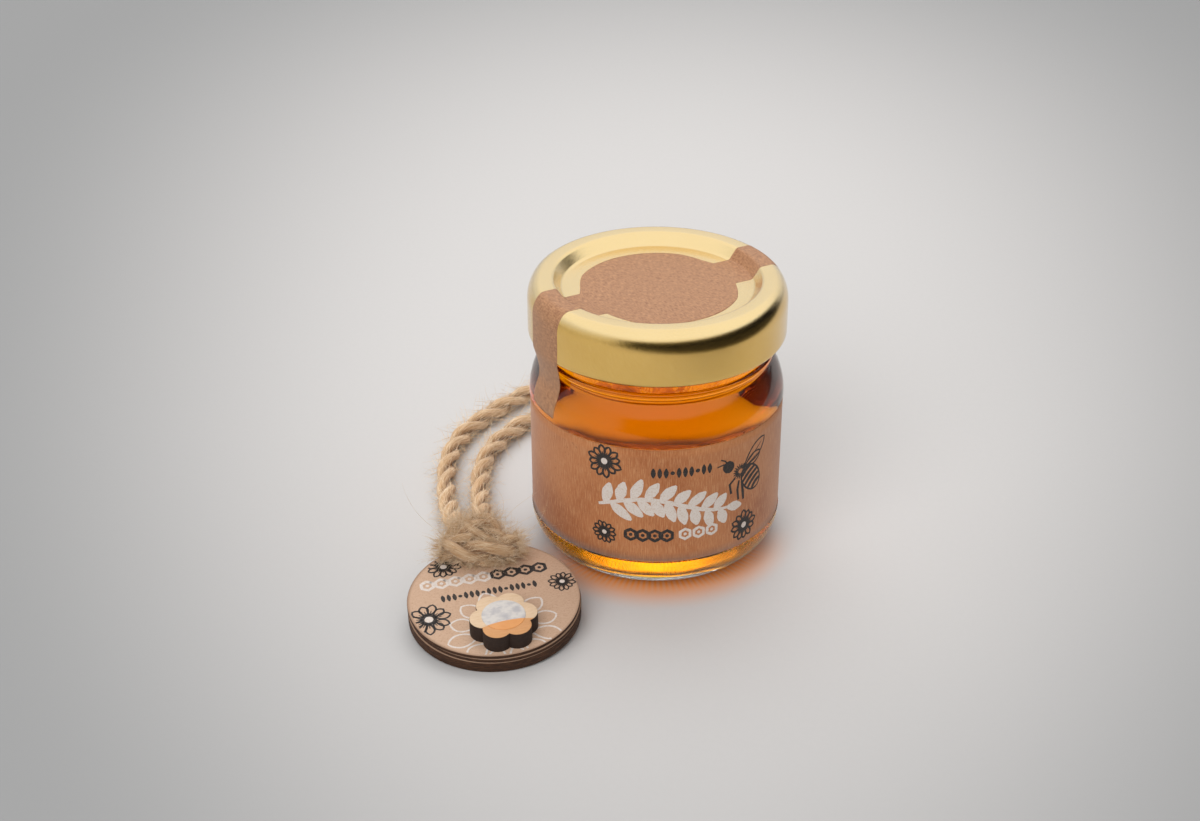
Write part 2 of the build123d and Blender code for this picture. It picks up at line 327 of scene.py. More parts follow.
FLOWER_AT = (0.0, -8.5)
ORANGE_EDGE = -1.55      # the orange field of the flower's top ends at this height from its middle


def orange_field(paint, here):
    """Where the lower part of the flower's top and of its sticker is orange, under a shallow arc."""
    x, y = paint.axes(here, "XY")
    across, up = x - FLOWER_AT[0], y - FLOWER_AT[1]
    edge = up - ORANGE_EDGE + across * across * 0.03 - across * 0.05
    return 1 - paint.rise(edge, -0.06, 0.06)


def pale_wood(paint):
    here = paint.spot()
    side = 1 - paint.facing_up(0.72, 0.97)
    grain = paint.noise(here, (0.5, 3.4, 2.0), 5.0, 0.65)
    pore = paint.noise(here, (1.2, 11.0, 2.0), 3.0, 0.6)
    tone = paint.mix(grain, swatch(230, 206, 178), swatch(206, 172, 134))
    orange = paint.mix(grain, swatch(220, 168, 120), swatch(196, 138, 88))
    tone = paint.mix(orange_field(paint, here), tone, orange)
    tone = paint.mix(paint.rise(pore, 0.58, 0.78) * 0.5, tone, swatch(168, 116, 70))
    char = paint.mix(paint.noise(here, (1.0, 1.0, 3.0), 4.0), swatch(26, 18, 15), swatch(58, 42, 34))
    return {"Base Color": paint.mix(side, tone, char), "Roughness": 0.55 + pore * 0.3,
            "Normal": paint.bump(pore * 0.5 + grain * 0.5, 0.04)}


def sticker_film(paint):
    here = paint.spot()
    cloud = paint.noise(here, (0.5, 0.7, 0.5), 3.0)
    tone = paint.mix(paint.rise(cloud, 0.35, 0.65), swatch(176, 172, 173), swatch(206, 200, 194))
    orange = paint.mix(cloud, swatch(222, 156, 92), swatch(212, 140, 74))
    return {"Base Color": paint.mix(orange_field(paint, here), tone, orange),
            "Roughness": 0.3 + cloud * 0.15, "Normal": paint.bump(cloud, 0.03)}


def jute(shade):
    """Twisted jute. The shade says how much darker and browner it is than the rest of the cord."""
    def recipe(paint):
        lay = paint.lay()
        streak = paint.noise(lay, (3.2, 0.35, 1.0), 5.0, 0.65)
        clump = paint.noise(lay, (0.5, 0.22, 1.0), 3.0)
        gap = paint.node("Attribute", {"attribute_name": "gap"}, out="Fac")
        tone = paint.mix(paint.rise(streak, 0.32, 0.7), swatch(200, 158, 114), swatch(250, 226, 192))
        tone = paint.mix(paint.rise(clump, 0.35, 0.7) * 0.5, tone, swatch(218, 178, 134))
        # Painted shade: points deep in a crease between the plies or between fibres are darkened.
        tone = paint.mix(gap * 0.62, tone, swatch(122, 82, 48))
        return {"Base Color": paint.mix(shade, tone, swatch(104, 70, 40)), "Roughness": 0.7 + streak * 0.25,
                "Normal": paint.bump(streak, 0.14)}
    return recipe


def jute_hair(shade):
    def recipe(paint):
        tone = paint.rise(paint.noise(paint.spot(), (0.8, 0.8, 0.8), 3.0), 0.3, 0.7)
        colour = paint.mix(tone, swatch(212, 176, 134), swatch(248, 228, 198))
        return {"Base Color": paint.mix(shade, colour, swatch(104, 70, 40)), "Roughness": 0.6 + tone * 0.2,
                "Normal": paint.bump(tone, 0.02)}
    return recipe


# ---------------------------------------------------------------- meshes

def spread(start, end, steps):
    """Evenly spaced numbers from start to end, both included."""
    return [start + (end - start) * k / steps for k in range(steps + 1)]


def mesh_of(name, rings, wrap=True, closed=False, lay=None, gap=None):
    """Faces from each ring of points to the next. A ring of one point is a tip. lay gives (along,
    across) in millimetres for a ring's number and a point's, and gap how deep in a crease it is, for
    the painted shade there."""
    starts = [0, *accumulate(len(ring) for ring in rings)]
    count = max(len(ring) for ring in rings)
    pairs = [(i, i + 1) for i in range(len(rings) - 1)] + ([(len(rings) - 1, 0)] if closed else [])
    faces, corners = [], []
    for a, b in pairs:
        for k in range(count if wrap else count - 1):
            around = [(a, k), (a, k + 1), (b, k + 1), (b, k)]
            if len(rings[a]) == 1:
                around = [(a, 0), (b, k + 1), (b, k)]
            if len(rings[b]) == 1:
                around = [(a, k), (a, k + 1), (b, 0)]
            faces.append([starts[i] + j % len(rings[i]) for i, j in around])
            corners.append(around)
    mesh = bpy.data.meshes.new(name)
    mesh.from_pydata([Vector(p) * MM for ring in rings for p in ring], [], faces)
    if lay:
        sheet = mesh.uv_layers.new(name="lay").data
        places = [lay(i, j) for around in corners for i, j in around]
        sheet.foreach_set("uv", [v for place in places for v in place])
    if gap:
        depth = mesh.attributes.new("gap", "FLOAT", "POINT").data
        depth.foreach_set("value", [gap(i, j) for i, ring in enumerate(rings) for j in range(len(ring))])
    return mesh


def solid(name, rings, **more):
    """A closed mesh whose faces all look outward."""
    mesh = mesh_of(name, rings, **more)
    work = bmesh.new()
    work.from_mesh(mesh)
    bmesh.ops.recalc_face_normals(work, faces=work.faces)
    work.to_mesh(mesh)
    work.free()
    return mesh


def joined(name, meshes):
    """One mesh made of several."""
    work = bmesh.new()
    for mesh in meshes:
        work.from_mesh(mesh)
    whole = bpy.data.meshes.new(name)
    work.to_mesh(whole)
    work.free()
    return whole


def set_out(name, data):
    """A new object in the scene."""
    made = bpy.data.objects.new(name, data)
    bpy.context.scene.collection.objects.link(made)
    return made


def piece(name, mesh, material, stands_for=(), place=None, crease=35.0, thick=0.0):
    """Put a mesh into the scene as a piece of the object. Faces that meet at more than the crease, in
    degrees, meet in an edge, and a crease of 0 leaves every face flat."""
    for face in mesh.polygons:
        face.use_smooth = crease > 0
    mesh.set_sharp_from_angle(angle=radians(crease))
    mesh.materials.append(material)
    made = set_out(name, mesh)
    if place:
        made.matrix_world = place
    if thick:
        shell = made.modifiers.new("thickness", "SOLIDIFY")
        shell.thickness, shell.offset = thick * MM, 1.0
    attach(made, "root")
    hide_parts(*stands_for)
    return made


def ring(centre, reaches, height):
    """A level ring of points round a centre, one for each reach."""
    turns = spread(0.0, tau, len(reaches))
    return [(centre[0] + r * cos(a), centre[1] + r * sin(a), height) for a, r in zip(turns, reaches)]


def turned(name, profile, around=256):
    """A solid turned about Z from (radius, height) points. Radius 0 is a tip."""
    return solid(name, [ring((0, 0), [r] * (around if r > 1e-6 else 1), height) for r, height in profile])


def bend(centre, radius, start, end, steps=10):
    """Points of an arc in a profile, from one angle to another in degrees. Two radii make an ellipse."""
    wide, high = radius if isinstance(radius, tuple) else (radius, radius)
    return [(centre[0] + wide * cos(radians(a)), centre[1] + high * sin(radians(a)))
            for a in spread(start, end, steps)]


# ---------------------------------------------------------------- jar, honey and cap

BODY_R = 22.95
PANEL_R = 22.75
PANEL_Z = (7.25, 30.2)
HEEL_R = 7.1
SHOULDER_AT = (10.95, 30.4)
SHOULDER_R = 12.0
SHOULDER_TURN = 36.0
NECK_R = 20.35
NECK_FILLET_R = 1.6
BEAD_Z = 39.2
BEAD_R = (0.6, 0.7)      # how far the neck's bead stands out, and half its height
INNER_R = 20.8
INNER_HEEL_R = 5.4
MOUTH_R = 18.4
WALL_REACH = 0.15        # how far the honey reaches into the glass
LIP_R = 0.55
FOOT_LINE = [(14.0, 0.35), (14.5, 0.06), (15.0, 0.0)]
INNER_SHOULDER = [(20.8, 30.5), (20.74, 31.5), (20.55, 32.7), (20.25, 33.9), (19.82, 35.0), (19.3, 35.95),
                  (18.75, 36.7), (18.5, 37.3), (MOUTH_R, 38.0)]

GLASS_FLOOR_Z = 2.5      # a height inside the glass of the bottom

CAP_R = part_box("lid")[1].x / MM
CAP_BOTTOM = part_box("lid")[0].z / MM
CAP_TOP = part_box("lid")[1].z / MM
HONEY_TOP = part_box("honey")[1].z / MM
CAP_SHEET = 0.35
CAP_PANEL_Z = 50.27
CAP_PANEL_R = 16.6
CAP_ROUND = 0.8
CAP_WALL_LEAN = 35.0     # degrees of the sunk panel's wall from upright
CAP_CORNER = (2.4, 4.0)
CURL_R = 0.6


def inside_line(out=0.0):
    """The glass's inner line from the middle of its floor to the mouth, moved into the wall."""
    reach = INNER_R - INNER_HEEL_R
    floor = [(reach * q, 4.3 - 1.3 * q ** 2.6 - out) for q in spread(0.0, 1.0, 8)[:-1]]
    heel = bend((reach, 3.0 + INNER_HEEL_R), INNER_HEEL_R + out, -90, 0, 14)
    return floor + heel + [(r + out, z) for r, z in INNER_SHOULDER]


def jar_glass():
    rim = CAP_TOP - CAP_SHEET - LIP_R
    under = [(13.6 * q, 1.9 - 1.1 * q * q) for q in spread(0.0, 1.0, 6)]
    heel = bend((BODY_R - HEEL_R, HEEL_R), HEEL_R, -90, 0, 24)
    shoulder = bend(SHOULDER_AT, SHOULDER_R, 0, SHOULDER_TURN, 20)
    groove_at = bend(shoulder[-1], NECK_FILLET_R, SHOULDER_TURN, SHOULDER_TURN, 1)[0]
    groove = bend(groove_at, NECK_FILLET_R, 180 + SHOULDER_TURN, 180, 6)
    bead = bend((NECK_R, BEAD_Z), BEAD_R, -90, 90, 12)
    lip = bend((NECK_R - LIP_R, rim), LIP_R, 0, 90, 5) + bend((MOUTH_R + LIP_R, rim), LIP_R, 90, 180, 5)
    panel = [(PANEL_R, z) for z in spread(*PANEL_Z, 6)]
    outside = [*under, *FOOT_LINE, *heel, *panel, *shoulder, *groove, *bead, *lip]
    return turned("jar_glass", outside + inside_line()[::-1])


def honey():
    edge = MOUTH_R + WALL_REACH
    creep = [(edge, HONEY_TOP + 0.25), (edge - 0.35, HONEY_TOP + 0.08), (edge - 0.9, HONEY_TOP)]
    return turned("honey", [*inside_line(WALL_REACH), *creep, (0.0, HONEY_TOP)])


def cap_skin(out=0.0):
    """The cap's line from the foot of its sunk panel's wall, over the crown and to the skirt."""
    foot = (CAP_PANEL_R, CAP_PANEL_Z + CAP_ROUND)
    rise = CAP_TOP - CAP_PANEL_Z - 2 * CAP_ROUND + 2 * CAP_ROUND * sin(radians(CAP_WALL_LEAN))
    crown_r = foot[0] + 2 * CAP_ROUND * cos(radians(CAP_WALL_LEAN)) + rise * tan(radians(CAP_WALL_LEAN))
    corner_at = (CAP_R - CAP_CORNER[0], CAP_TOP - CAP_CORNER[1])
    corner = (CAP_CORNER[0] + out, CAP_CORNER[1] + out)
    return (bend(foot, CAP_ROUND - out, -90, -CAP_WALL_LEAN, 8)
            + bend((crown_r, CAP_TOP - CAP_ROUND), CAP_ROUND + out, 180 - CAP_WALL_LEAN, 90, 8)
            + bend(corner_at, corner, 90, 0, 28))


def lid():
    curl = bend((CAP_R - CURL_R, CAP_BOTTOM + CURL_R), CURL_R, 0, -270, 18)
    skirt = [(CAP_R, z) for z in spread(CAP_TOP - CAP_CORNER[1] - 0.5, CAP_BOTTOM + CURL_R + 0.5, 6)]
    inside = [(CAP_R - CAP_SHEET, CAP_BOTTOM + 2 * CURL_R), *cap_skin(-CAP_SHEET)[::-1]]
    panel = [(r, CAP_PANEL_Z) for r in spread(0.0, CAP_PANEL_R - 1.0, 6)]
    return turned("lid", [*panel, *cap_skin(), *skirt, *curl, *inside, (0.0, CAP_PANEL_Z - CAP_SHEET)], 320)


# ---------------------------------------------------------------- paper

PAPER = 0.12
LABEL_Z = (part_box("body_label")[0].z / MM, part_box("body_label")[1].z / MM)
LABEL_GAP = 90.0         # degrees left bare at the back
GLUED_SIDE_R = PANEL_R - 0.05
SEAL_R = 14.3
SEAL_AT = (0.15, -0.5)
SEAL_AXIS = 29.0
SEAL_EDGES = ((60.0, -5.5, 3.4), (43.0, -5.3, 3.6), (36.0, -3.8, 4.4), (20.0, -3.6, 4.5))
SEAL_FOOT_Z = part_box("lid_seal")[0].z / MM
SEAL_MEET_Z = 35.2
SEAL_DIP = (22.25, 39.9)
PAPER_LIFT = 0.015


def on_label(across, up):
    """Point on the label at an arc length from the front and a height."""
    radius = PANEL_R + PAPER
    return radius * sin(across / BODY_R), -radius * cos(across / BODY_R), up


def label(name, radius):
    """Paper round the body, with a bare gap at the back."""
    half = pi - radians(LABEL_GAP / 2)
    turns, levels = spread(-half, half, 300), spread(*LABEL_Z, 12)
    rings = [[(radius * sin(a), -radius * cos(a), z) for a in turns] for z in levels]
    return mesh_of(name, rings, wrap=False, lay=lambda i, k: (turns[k] * BODY_R, levels[i]))


def seal_line():
    """The tail's line from the cap's panel, over the rim and down to its end on the shoulder."""
    meet = asin((SEAL_MEET_Z - SHOULDER_AT[1]) / SHOULDER_R)
    on_glass = bend(SHOULDER_AT, SHOULDER_R + PAPER_LIFT, meet * 180 / pi, 0, 12)
    start, dip, end = Vector((CAP_R, CAP_BOTTOM + CURL_R)), Vector(SEAL_DIP), Vector(on_glass[0])
    fall, lean, slope = Vector((0, -1)), Vector((-0.22, -0.975)), Vector((sin(meet), -cos(meet)))
    upper = geometry.interpolate_bezier(start, start + fall, dip - lean, dip, 9)
    lower = geometry.interpolate_bezier(dip, dip + lean * 1.4, end - slope * 1.5, end, 11)
    bridge = [(p.x + PAPER_LIFT, p.y) for p in [*upper[1:], *lower[1:-1]]]
    skirt = [(CAP_R + PAPER_LIFT, z) for z in spread(CAP_TOP - CAP_CORNER[1] - 0.4, start.y, 8)]
    line = cap_skin(PAPER_LIFT) + skirt + bridge + on_glass
    return [(r, z) for r, z in line if z >= SEAL_FOOT_Z]


def seal_edges(height):
    """The strip's two edges at a height, from its middle line."""
    for (above, *high), (below, *low) in zip(SEAL_EDGES, SEAL_EDGES[1:]):
        if height >= below:
            part = (height - below) / (above - below)
            return [b + (a - b) * part for a, b in zip(high, low)]
    return list(SEAL_EDGES[-1][1:])


def seal():
    """Disc and two tails in one sheet: rows across the strip, each as wide as the paper is there."""
    turn = Matrix.Rotation(radians(SEAL_AXIS), 2)
    disc_at = turn.transposed() @ Vector(SEAL_AT)
    level = CAP_PANEL_Z + PAPER_LIFT
    flat = [(u, u, level) for u in spread(0.0, CAP_PANEL_R - 0.15, 90)]
    line, far = [], flat[-1][0]
    for (r, z), (r2, z2) in zip(seal_line(), seal_line()[1:]):
        line.append((far, r, z))
        far += hypot(r2 - r, z2 - z)
    one_side = flat + line
    columns = 72

    def row(side, far, radius, height):
        low, high = seal_edges(height)
        if radius <= CAP_PANEL_R:
            chord = sqrt(max(SEAL_R ** 2 - (side * far - disc_at.x) ** 2, 0.0))
            low, high = min(low, disc_at.y - chord), max(high, disc_at.y + chord)
        bow = min(max((radius - 10.0) / 6.0, 0.0), 1.0)
        places = []
        for t in spread(low, high, columns):
            held = min(abs(t), 5.5)
            x = radius + (sqrt(max(radius ** 2 - held ** 2, 0.0)) - radius) * bow
            ripple = 0.03 * noise.noise((t * 0.35, far * 0.3, side * 7.0)) * (height > CAP_BOTTOM - 4)
            flat_place = turn @ Vector((side * x, t))
            places.append((flat_place.x, flat_place.y, height + max(ripple, 0.0)))
        return places, [(side * far, t) for t in spread(low, high, columns)]

    rows = [row(-1, *at) for at in one_side[:0:-1]] + [row(1, *at) for at in one_side]
    return mesh_of("seal", [places for places, _ in rows], wrap=False, lay=lambda i, k: rows[i][1][k])


# ---------------------------------------------------------------- print

INK_THICK = 0.012
INKS = (finish("black ink", ink(swatch(44, 42, 42), swatch(88, 74, 64)), Specular_IOR_Level=0.3),
        finish("white ink", ink(swatch(218, 208, 200), swatch(200, 178, 158)), Specular_IOR_Level=0.3))


def heading(turn):
    """The direction across and up that a turn in radians points in."""
    return Vector((cos(turn), sin(turn)))


class Print:
    """Flat shapes of one ink, drawn in millimetres across and up."""

    def __init__(self):
        self.points, self.faces = [], []

    def stroke(self, line, width, taper=0.0, within=None):
        """A line with a pen's width. taper thins its ends, and within says which points are kept."""
        line = [Vector(p) for p in line]
        last = len(line) - 1
        before = None
        for k, here in enumerate(line):
            along = (line[min(k + 1, last)] - line[max(k - 1, 0)]).normalized()
            thin = 1 - taper * abs(2 * k / last - 1) ** 2
            half = Vector((along.y, -along.x)) * (width / 2 * thin * draw.uniform(0.86, 1.12))
            if within and not within(here):
                before = None
                continue
            start = len(self.points)
            self.points += [here + half, here - half]
            if before is not None:
                self.faces.append((before, start, start + 1, before + 1))
            before = start

    def loop(self, line, width, within=None):
        self.stroke([*line, line[0], line[1]], width, within=within)

    def spot(self, centre, radius, within=None, sides=18):
        """A filled round spot with an uneven edge."""
        if within and not within(Vector(centre)):
            return
        start = len(self.points)
        self.points.append(Vector(centre))
        for part in (0.5, 1.0):
            for k in range(sides):
                reach = radius * part * (draw.uniform(0.93, 1.05) if part == 1.0 else 1.0)
                self.points.append(Vector(centre) + heading(tau * k / sides) * reach)
        for k in range(sides):
            m = (k + 1) % sides
            self.faces.append((start, start + 1 + k, start + 1 + m))
            self.faces.append((start + 1 + k, start + 1 + sides + k, start + 1 + sides + m, start + 1 + m))

    def leaf(self, foot, turn, length, width):
        """A filled pointed leaf from its foot, as one stroke that swells."""
        ahead = heading(turn)
        line = [Vector(foot) + ahead * length * q for q in spread(0.0, 1.0, 8)]
        side = Vector((-ahead.y, ahead.x))
        start = len(self.points)
        for k, here in enumerate(line):
            half = side * (width / 2 * sin(pi * (0.04 + 0.92 * k / 8)) ** 0.8 * draw.uniform(0.93, 1.07))
            self.points += [here + half, here, here - half]
        for k in range(8):
            a = start + 3 * k
            self.faces += [(a, a + 1, a + 4, a + 3), (a + 1, a + 2, a + 5, a + 4)]

    def mesh(self, name, place):
        """The shapes laid on a surface. place turns (across, up) into a point."""
        made = bpy.data.meshes.new(name)
        made.from_pydata([Vector(place(p.x, p.y)) * MM for p in self.points], [], self.faces)
        return made


def printed(names, shapes, surface, place=None):
    """The black and the white print on a surface, as a piece each."""
    return [piece(name, ink_shapes.mesh(name, surface), material, (), place, 0.0, INK_THICK)
            for name, ink_shapes, material in zip(names, shapes, INKS)]


def petal_line(centre, turn, inner, outer, half_width, steps=9):
    """Outline of a petal that points away from a flower's middle."""
    ahead = heading(turn)
    side = Vector((-ahead.y, ahead.x))
    swell = [(inner + (outer - inner) * q, half_width * sin(pi * q ** 1.25) ** 0.7)
             for q in spread(0.0, 1.0, steps)]
    back = [(a, -w) for a, w in swell[-2:0:-1]]
    return [Vector(centre) + ahead * a + side * w for a, w in swell + back]


def daisy(dark, white, centre, size, petals, turn=0.0, pen=0.13, within=None):
    """A drawn daisy: outlined petals with a vein each, a dark ring and a pale middle."""
    for k in range(petals):
        at = turn + tau * k / petals + draw.uniform(-0.06, 0.06)
        reach = size * draw.uniform(0.9, 1.06)
        half = size * 2.2 / petals
        dark.loop(petal_line(centre, at, 0.3 * size, reach, half), pen * size, within)
        vein = [Vector(centre) + heading(at) * r for r in spread(0.32 * size, 0.62 * reach, 3)]
        dark.stroke(vein, 0.6 * pen * size, 0.6, within)
    eye = [Vector(centre) + heading(a) * 0.28 * size for a in spread(0.0, tau, 16)[:-1]]
    dark.loop(eye, 0.16 * size, within)
    white.spot(centre, 0.2 * size, within)


def honeycomb_row(inks, start, end, level, height, pen):
    """A row of six-sided cells with dots between them, in the given inks from left to right."""
    count = round((end - start) / height)
    pitch = (end - start) / count
    for k in range(count):
        ink_here = inks[min(int(k * len(inks) / count), len(inks) - 1)]
        middle = Vector((start + pitch * (k + 0.5), level))
        corners = [middle + heading(a) * height * 0.47 for a in spread(pi / 6, pi / 6 + tau, 6)[:-1]]
        cell = [a.lerp(b, q) for a, b in zip(corners, corners[1:] + corners[:1]) for q in (0.0, 0.5)]
        ink_here.loop(cell, pen)
        ink_here.spot(middle, pen * 0.55)


def lozenge_row(shape_ink, start, end, level, height):
    """A row of upright leaves, with a dot in place of every fourth."""
    count = round((end - start) / (height * 0.56))
    pitch = (end - start) / count
    for k in range(count):
        middle = start + pitch * (k + 0.5)
        if k % 4 == 3:
            shape_ink.spot((middle, level), height * 0.2)
        else:
            shape_ink.leaf((middle, level - height / 2), pi / 2, height, height * 0.42)


def bee(dark):
    """A plain bee from the side, with its head up to the left."""
    body_at, ahead = Vector((19.0, 20.8)), Vector((-0.60, 0.80))
    side = Vector((ahead.y, -ahead.x))
    for q in spread(-0.8, 0.7, 4):
        reach = 2.1 * sqrt(1 - q * q)
        band = [body_at + ahead * (2.9 * q + 0.35 * cos(w * 1.4)) + side * reach * w
                for w in spread(-1.0, 1.0, 6)]
        dark.stroke(band, 0.72, 0.3)
    hull = [body_at + ahead * 3.1 * cos(a) + side * 2.1 * sin(a) for a in spread(0.0, tau, 24)[:-1]]
    dark.loop(hull, 0.36)
    chest = Vector((16.3, 23.0))
    for k in range(18):
        a = tau * k / 18
        root = chest + Vector((cos(a), sin(a) * 0.9)) * 1.7
        dark.stroke([root, root.lerp(chest, 0.35), root.lerp(chest, 0.7)], 0.34, 0.6)
    head = Vector((13.6, 24.7))
    dark.spot(head, 1.25)
    for tip in ((11.2, 25.3), (11.9, 26.6)):
        middle = (head + Vector(tip)) / 2 + Vector((0.1, 0.5))
        dark.stroke([head, middle, tip], 0.34, 0.3)
    for tip, wide in (((22.6, 27.6), 1.35), ((21.4, 25.2), 1.0)):
        span = Vector(tip) - chest
        turn = atan2(span.y, span.x)
        dark.loop(petal_line(chest, turn, 1.0, span.length, wide, 14), 0.32)
        dark.stroke([chest + span * q for q in spread(0.25, 0.85, 4)], 0.22, 0.5)
    legs = (((13.9, 21.0), (14.3, 19.0)), ((15.7, 19.4), (16.0, 17.2)), ((17.0, 18.6), (17.2, 16.9)))
    for knee, foot in legs:
        dark.stroke([(Vector(knee) + chest) / 2, knee, foot], 0.55, 0.2)


def sprig(white):
    """A white leafy sprig along a waving stem."""
    def stem(q):
        return Vector((-10.2 + 23.6 * q, 18.6 + 1.7 * sin(tau * 0.8 * q - 0.3) - 0.3 * q))
    line = [stem(q) for q in spread(0.0, 1.0, 44)]
    white.stroke(line, 0.85, 0.35)
    for k in range(9):
        q = 0.05 + 0.105 * k
        here, ahead = stem(q), stem(q + 0.02) - stem(q)
        lean = atan2(ahead.y, ahead.x)
        for side in (1, -1):
            length = 4.7 * (1 - 0.25 * q) * draw.uniform(0.92, 1.08)
            foot = here + ahead.normalized() * (1.1 if side < 0 else 0.0)
            white.leaf(foot, lean + side * radians(58), length, 2.0)
    white.leaf(line[-1], lean, 3.4, 1.9)


def label_print():
    dark, white = Print(), Print()
    daisy(dark, white, (-9.1, 26.9), 3.1, 12, 0.2)
    daisy(dark, white, (-9.1, 12.4), 2.2, 12, 0.5, 0.15)
    daisy(dark, white, (17.6, 11.3), 3.0, 12, 0.1)
    bee(dark)
    lozenge_row(dark, -0.9, 10.3, 25.6, 2.0)
    sprig(white)
    honeycomb_row((dark,), -5.3, 3.3, 12.8, 2.3, 0.62)
    honeycomb_row((white,), 4.2, 11.7, 12.9, 2.2, 0.55)
    return dark, white


# ---------------------------------------------------------------- tag

TAG_R = 15.1
TAG_AT = (-27.7, -30.9)
TAG_TILT = 5.7
TAG_TURN = 16.0
TAG_LAYERS = {"tag_base": (0.0, 2.1, 15.1, (0, 0)), "tag_middle": (2.1, 0.75, 15.0, (0.12, -0.08)),
              "tag_face": (2.85, 0.75, 15.05, (-0.08, 0.08))}     # height, thickness, radius, shift
TAG_TOP = 3.6
TAG_HOLE_AT = (0.0, 11.4)
TAG_HOLE_R = 2.3
FLOWER_PETALS = 6
FLOWER_PETAL_AT = 3.4
FLOWER_PETAL_R = 2.5
FLOWER_H = 3.2
STICKER_R = 3.75
STICKER_H = 0.1


def tag_place():
    raised = TAG_R * sin(radians(TAG_TILT)) * MM
    return (Matrix.Translation((TAG_AT[0] * MM, TAG_AT[1] * MM, raised))
            @ Matrix.Rotation(radians(TAG_TILT), 4, "X") @ Matrix.Rotation(radians(TAG_TURN), 4, "Z"))


def board(name, low, thick, radius, shift):
    """A round board with a hole, its edges a little worn."""
    top, wear = low + thick, 0.13
    low_edge = low + 0.01
    edge = [(radius - wear, low_edge), (radius, low + wear), (radius, top - wear),
            (radius - wear * 0.4, top - wear * 0.3), (radius - wear, top)]
    hole = [(TAG_HOLE_R + wear, top), (TAG_HOLE_R, top - wear), (TAG_HOLE_R, low + wear),
            (TAG_HOLE_R + wear, low_edge)]
    rings = [ring(at, [r] * 160, z) for at, line in ((shift, edge), (TAG_HOLE_AT, hole)) for r, z in line]
    return solid(name, rings, closed=True)


def flower_reach(turn):
    """The wooden flower's radius in a direction: the furthest of its petals."""
    best = FLOWER_PETAL_AT
    for k in range(FLOWER_PETALS):
        off = turn - tau * k / FLOWER_PETALS
        inside = FLOWER_PETAL_R ** 2 - (FLOWER_PETAL_AT * sin(off)) ** 2
        if inside > 0 and cos(off) > 0:
            best = max(best, FLOWER_PETAL_AT * cos(off) + sqrt(inside))
    return best


def flower():
    wear = 0.16
    reaches = [flower_reach(a) for a in spread(0.0, tau, 240)[:-1]]
    levels = ((0.01, -0.02), (0.1, 0.0), (FLOWER_H - wear, 0.0), (FLOWER_H - wear * 0.35, -wear * 0.3),
              (FLOWER_H, -wear), (FLOWER_H, -2.2))
    rings = [ring(FLOWER_AT, [r + grow for r in reaches], TAG_TOP + height) for height, grow in levels]
    return solid("tag_flower", [[(*FLOWER_AT, TAG_TOP + 0.01)], *rings, [(*FLOWER_AT, TAG_TOP + FLOWER_H)]])


def sticker():
    base = TAG_TOP + FLOWER_H
    edge = ((STICKER_R, 0.0), (STICKER_R, 0.05), (STICKER_R - 0.06, STICKER_H), (STICKER_R * 0.5, STICKER_H))
    rings = [ring(FLOWER_AT, [r] * 72, base + z) for r, z in edge]
    return solid("tag_sticker", [[(*FLOWER_AT, base)], *rings, [(*FLOWER_AT, base + STICKER_H)]])


def on_tag(across, up):
    return across, up, TAG_TOP + 0.002


def tag_print():
    """Daisies and plain rows on the tag, and a white flower's outline round the knob."""
    def on_board(p):
        return p.length < TAG_R - 0.35

    dark, white = Print(), Print()
    daisy(dark, white, (-7.1, 10.3), 3.0, 12, 0.3, 0.11, on_board)
    daisy(dark, white, (-12.0, -2.9), 3.9, 11, 0.1, 0.09, on_board)
    daisy(dark, white, (12.4, 1.2), 2.4, 12, 0.2, 0.12, on_board)
    honeycomb_row((white, dark), -12.0, 10.6, 5.9, 2.5, 0.6)
    lozenge_row(dark, -9.2, 8.1, 1.8, 1.8)
    for k in range(12):
        reach = 9.6 + 0.5 * sin(k * 2.4)
        white.loop(petal_line((0.0, -8.4), tau * (k + 0.3) / 12, 4.6, reach, 1.6, 16), 0.36, on_board)
    return dark, white


# ---------------------------------------------------------------- jute

def astray(wide):
    """A random push, of about the given size each way."""
    return Vector([draw.gauss(0, wide) for _ in range(3)])


def smooth_line(route):
    """Points of the smooth curve that a route's points steer, in millimetres."""
    curve = bpy.data.curves.new("line", "CURVE")
    curve.dimensions = "3D"
    spline = curve.splines.new("NURBS")
    spline.points.add(len(route) - 1)
    for point, place in zip(spline.points, route):
        point.co = (*place, 1.0)
    spline.order_u = 3
    spline.use_endpoint_u = True
    spline.resolution_u = 20
    holder = bpy.data.objects.new("line", curve)
    mesh = bpy.data.meshes.new_from_object(holder)
    points = [v.co / MM for v in mesh.vertices]
    bpy.data.objects.remove(holder)
    bpy.data.curves.remove(curve)
    bpy.data.meshes.remove(mesh)
    return points


def evenly(points, step):
    """The same line with points a step apart."""
    gone, even = 0.0, [points[0]]
    for a, b in zip(points, points[1:]):
        run = (b - a).length
        while gone + step <= run:
            gone += step
            even.append(a.lerp(b, gone / run))
        gone -= run
    return even


def sided(line):
    """Each point of a line with its direction and two sides that don't twist along it."""
    side, placed = None, []
    for k, here in enumerate(line):
        ahead = (line[min(k + 1, len(line) - 1)] - line[max(k - 1, 0)]).normalized()
        side = ahead.orthogonal() if side is None else side - ahead * side.dot(ahead)
        side.normalize()
        placed.append((here, ahead, side.copy(), ahead.cross(side)))
    return placed


